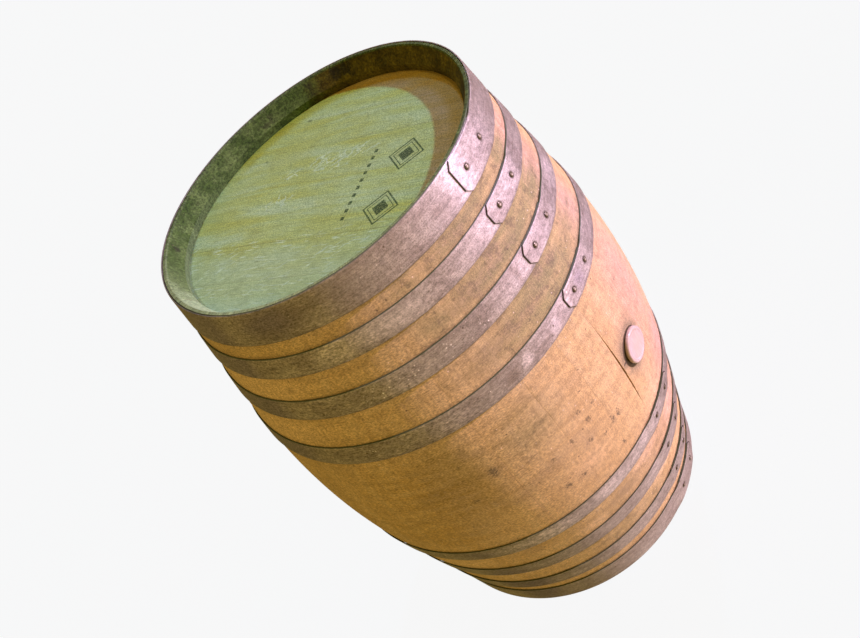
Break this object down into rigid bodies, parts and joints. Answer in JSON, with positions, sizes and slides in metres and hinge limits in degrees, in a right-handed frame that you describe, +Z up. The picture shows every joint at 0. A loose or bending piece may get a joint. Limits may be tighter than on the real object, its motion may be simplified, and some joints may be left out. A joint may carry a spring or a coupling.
{
  "type": "wooden wine barrel",
  "caption": "Bulged oak wine barrel standing on its chime, with recessed boarded heads, riveted steel hoops and a removable round bung in its side.",
  "frame": {"origin": "centre of the lower end of the staves, on the barrel's axis", "axes": "+Z up the barrel's axis, from the lower chime to the upper; the bung faces -Y; +X to the right of someone facing the bung"},
  "size_m": [0.7087, 0.7164, 0.95],
  "materials": {
    "stave_oak": "bare weathered oak, stained",
    "head_oak": "bare planed oak",
    "hoop_steel": "dull galvanised strip",
    "rivet_steel": "dull steel",
    "bung_wood": "pale turned hardwood"
  },
  "bodies": {
    "barrel": {"bung_stave": "stave_oak", "stave_02": "stave_oak", "stave_03": "stave_oak", "stave_04": "stave_oak", "stave_05": "stave_oak", "stave_06": "stave_oak", "stave_07": "stave_oak", "stave_08": "stave_oak", "stave_09": "stave_oak", "stave_10": "stave_oak", "stave_11": "stave_oak", "stave_12": "stave_oak", "stave_13": "stave_oak", "stave_14": "stave_oak", "stave_15": "stave_oak", "stave_16": "stave_oak", "stave_17": "stave_oak", "stave_18": "stave_oak", "stave_19": "stave_oak", "stave_20": "stave_oak", "stave_21": "stave_oak", "stave_22": "stave_oak", "stave_23": "stave_oak", "stave_24": "stave_oak", "stave_25": "stave_oak", "stave_26": "stave_oak", "stave_27": "stave_oak", "stave_28": "stave_oak", "stave_29": "stave_oak", "stave_30": "stave_oak", "upper_head_board_1": "head_oak", "upper_head_board_2": "head_oak", "upper_head_board_3": "head_oak", "upper_head_board_4": "head_oak", "upper_head_board_5": "head_oak", "upper_head_board_6": "head_oak", "lower_head_board_1": "head_oak", "lower_head_board_2": "head_oak", "lower_head_board_3": "head_oak", "lower_head_board_4": "head_oak", "lower_head_board_5": "head_oak", "lower_head_board_6": "head_oak", "upper_head_hoop": "hoop_steel", "upper_neck_hoop": "hoop_steel", "upper_quarter_hoop": "hoop_steel", "upper_bilge_hoop": "hoop_steel", "lower_bilge_hoop": "hoop_steel", "lower_quarter_hoop": "hoop_steel", "lower_neck_hoop": "hoop_steel", "lower_head_hoop": "hoop_steel", "hoop_rivets": "rivet_steel"},
    "bung": {"bung": "bung_wood"}
  },
  "joints": [
    {"name": "bung_pull", "type": "slide", "parent": "barrel", "child": "bung", "axis": [0, -1, 0], "range_m": [0, 0.08]}
  ]
}
